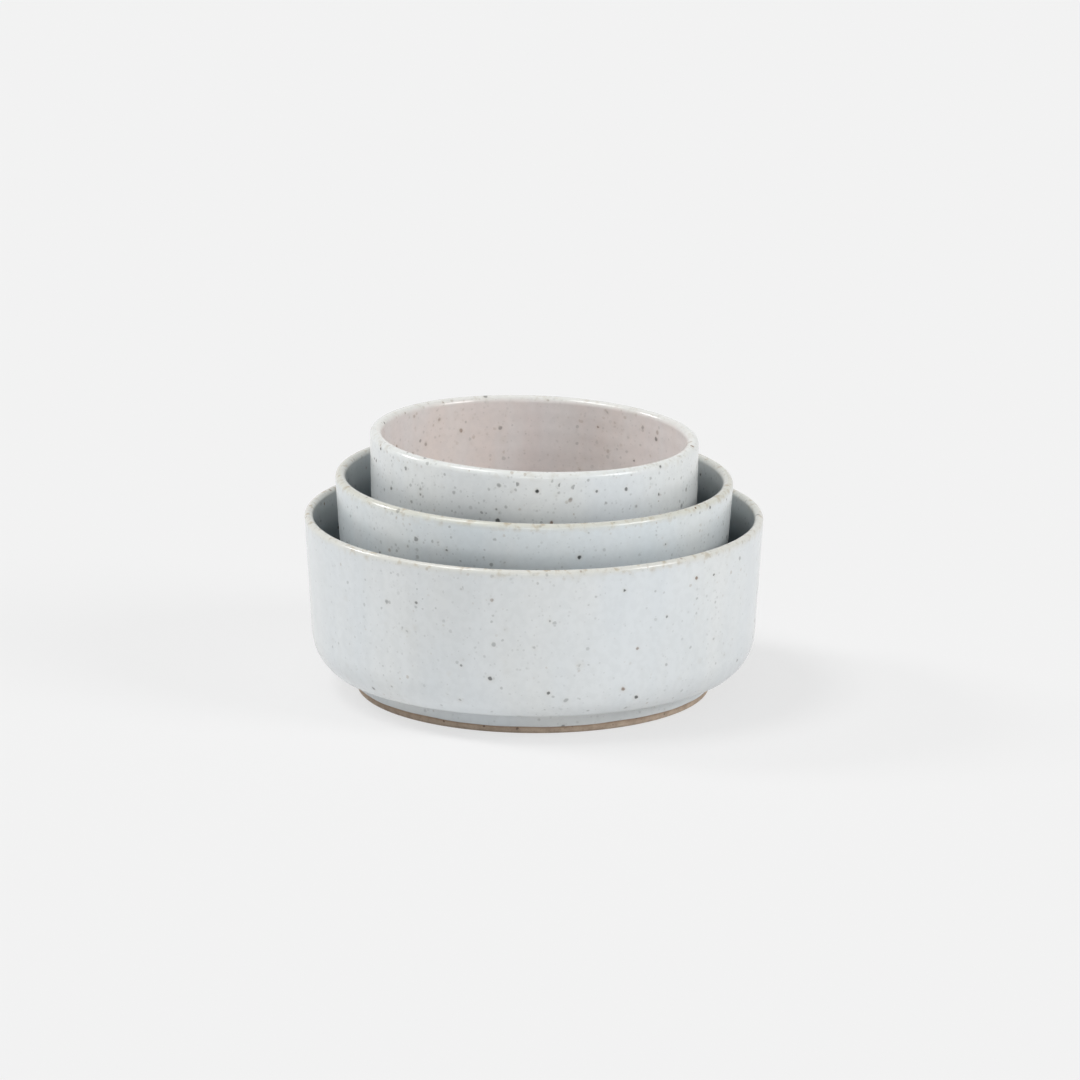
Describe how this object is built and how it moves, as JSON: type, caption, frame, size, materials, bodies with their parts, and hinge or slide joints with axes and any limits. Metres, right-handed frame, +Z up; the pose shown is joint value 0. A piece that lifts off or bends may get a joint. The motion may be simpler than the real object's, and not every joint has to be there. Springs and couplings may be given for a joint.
{
  "type": "nesting bowl set",
  "caption": "Nest of round straight-sided stoneware bowls, each standing inside the next, with speckled pale grey glaze and a bare clay foot; the inner bowls lift out.",
  "frame": {"origin": "centre of the large bowl's foot, on the surface that it stands on", "axes": "+Z up along the bowls' common axis; the rims slope down a little towards +X; the picture looks along +Y from above"},
  "size_m": [0.1528, 0.1528, 0.0886],
  "materials": {
    "large_glaze": "satin pale grey glaze with iron speckle, bare brown clay at the foot",
    "medium_glaze": "satin pale blue-grey glaze with iron speckle, bare brown clay at the foot",
    "small_glaze": "satin pale grey glaze with iron speckle, warmer inside, bare brown clay at the foot"
  },
  "bodies": {
    "large": {"large_bowl": "large_glaze"},
    "medium": {"medium_bowl": "medium_glaze"},
    "small": {"small_bowl": "small_glaze"}
  },
  "joints": [
    {"name": "medium_lift", "type": "slide", "parent": "large", "child": "medium", "axis": [0, 0, 1], "range_m": [0, 0.06]},
    {"name": "small_lift", "type": "slide", "parent": "medium", "child": "small", "axis": [0, 0, 1], "range_m": [0, 0.06]}
  ]
}
